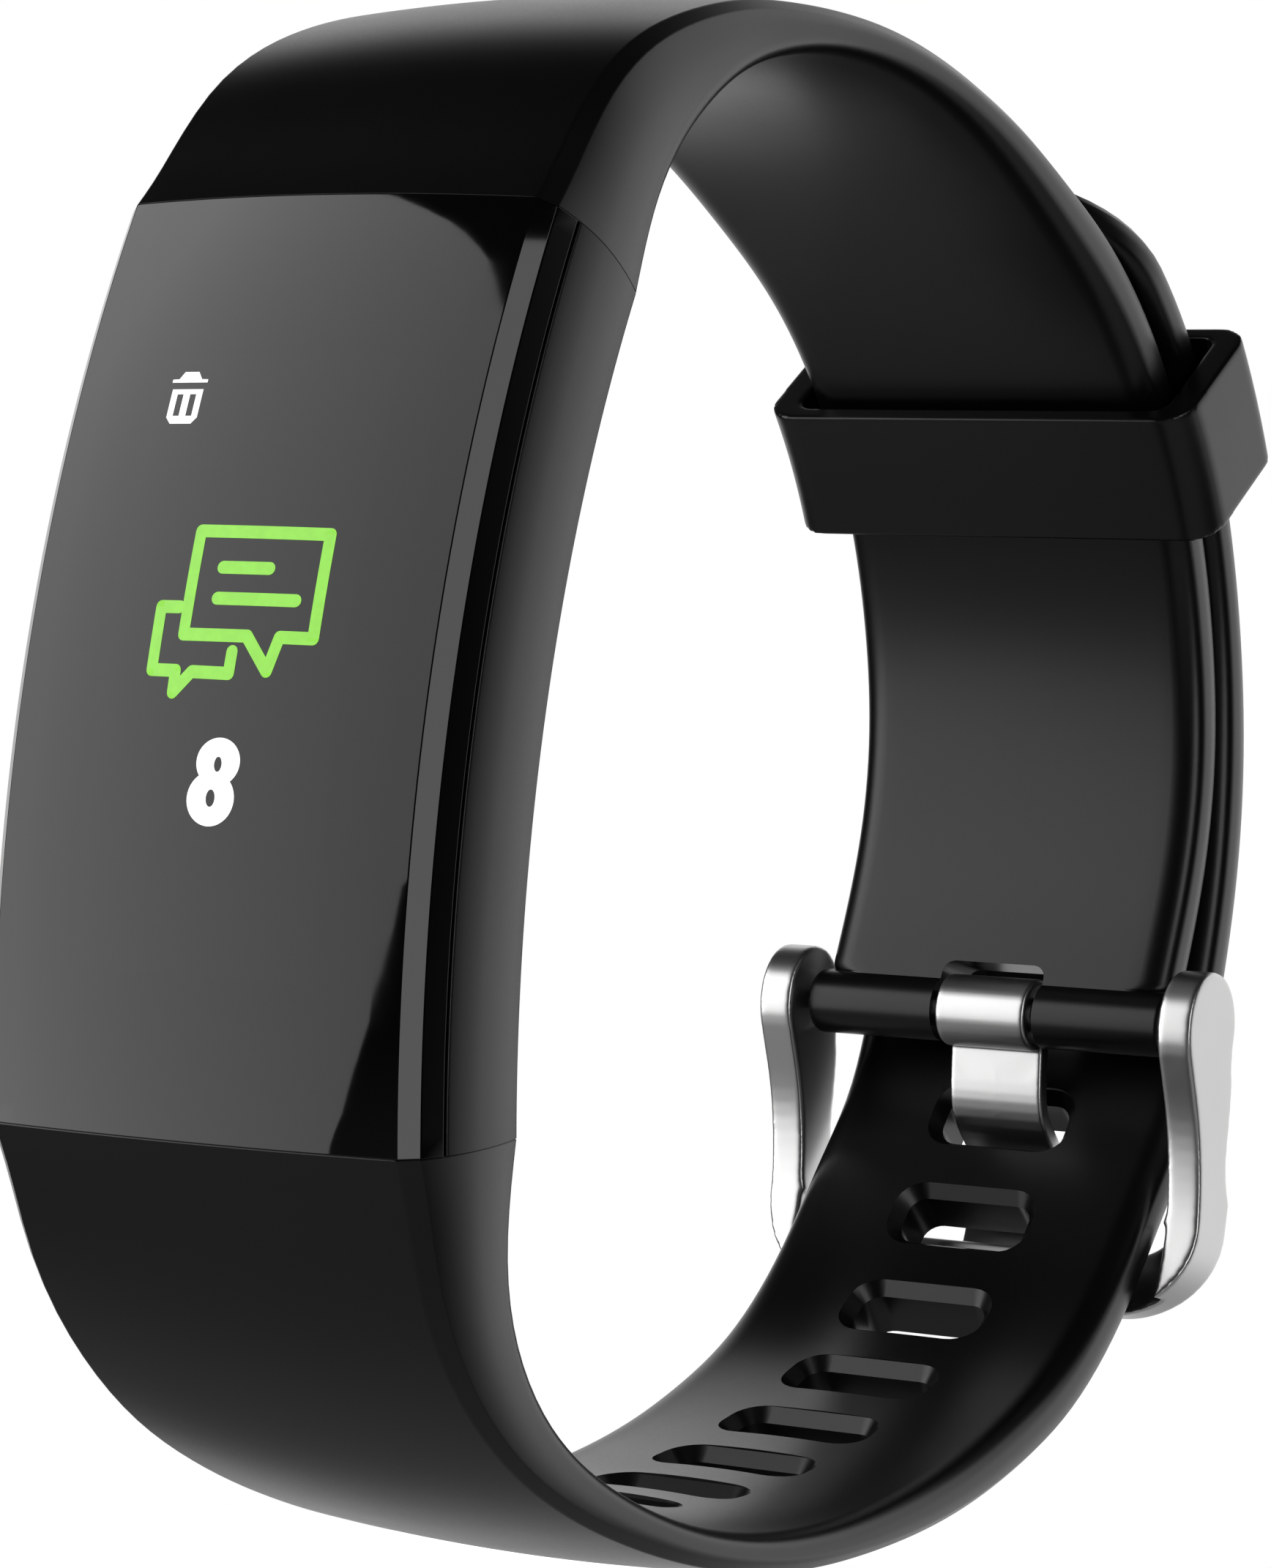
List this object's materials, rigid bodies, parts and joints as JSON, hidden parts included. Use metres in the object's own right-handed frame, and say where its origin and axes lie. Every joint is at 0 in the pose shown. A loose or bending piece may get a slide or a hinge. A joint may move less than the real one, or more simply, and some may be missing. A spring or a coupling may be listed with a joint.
{
  "type": "fitness tracker band",
  "caption": "Curved glass-faced wrist tracker on a two-piece soft strap, buckled with a steel frame and tongue and a sliding keeper loop.",
  "frame": {"origin": "centre of the wrist opening, midway across the strap", "axes": "+X along the wrist axis, -Y out of the screen, +Z from the wrist towards the strap that carries the buckle"},
  "size_m": [0.0218, 0.0706, 0.0622],
  "materials": {
    "lens_glass": "gloss black glass with dark border",
    "display_panel": "dark display laminate",
    "gasket_foam": "black adhesive foam",
    "case_polymer": "fine matte black",
    "rear_polymer": "satin black",
    "seal_rubber": "black seal",
    "screw_steel": "dark plated steel",
    "sensor_glass": "tinted window",
    "sensor_parts": "emitters on a white carrier",
    "contact_gold": "gold plated",
    "board_green": "solder resist",
    "shield_steel": "tinned",
    "chip_black": "moulded black",
    "battery_foil": "crimped foil pouch",
    "pad_foam": "foam",
    "motor_steel": "drawn steel",
    "flex_amber": "polyimide film",
    "strap_silicone": "soft matte silicone",
    "pin_steel": "turned steel",
    "spring_wire": "spring wire",
    "buckle_steel": "satin stainless steel"
  },
  "bodies": {
    "band": {"display_lens": "lens_glass", "display_module": "display_panel", "display_gasket": "gasket_foam", "case_shell": "case_polymer", "rear_cover": "rear_polymer", "rear_seal": "seal_rubber", "rear_screws": "screw_steel", "sensor_window": "sensor_glass", "sensor_emitters": "sensor_parts", "charging_contacts": "contact_gold", "main_board": "board_green", "shield_can": "shield_steel", "board_chips": "chip_black", "battery_cell": "battery_foil", "battery_pad": "pad_foam", "vibration_motor": "motor_steel", "display_flex": "flex_amber", "upper_strap": "strap_silicone", "lower_strap": "strap_silicone", "upper_bar_tube": "pin_steel", "upper_bar_tips": "pin_steel", "upper_bar_spring": "spring_wire", "lower_bar_tube": "pin_steel", "lower_bar_tips": "pin_steel", "lower_bar_spring": "spring_wire", "buckle_bar_tube": "pin_steel", "buckle_bar_tips": "pin_steel", "buckle_bar_spring": "spring_wire"},
    "buckle": {"buckle_frame": "buckle_steel"},
    "tongue": {"buckle_tongue": "buckle_steel"},
    "keeper": {"keeper_loop": "strap_silicone"}
  },
  "joints": [
    {"name": "buckle_swing", "type": "hinge", "parent": "band", "child": "buckle", "pos_m": [0, 0.0286, -0.0037], "axis": [1, 0, 0], "range_deg": [0, 2.5]},
    {"name": "tongue_swing", "type": "hinge", "parent": "buckle", "child": "tongue", "pos_m": [0, 0.0286, -0.0037], "axis": [1, 0, 0], "range_deg": [0, 1]},
    {"name": "keeper_slide", "type": "hinge", "parent": "band", "child": "keeper", "pos_m": [0, 0.0041, 0.0024], "axis": [1, 0, 0], "range_deg": [-9, 9]}
  ]
}
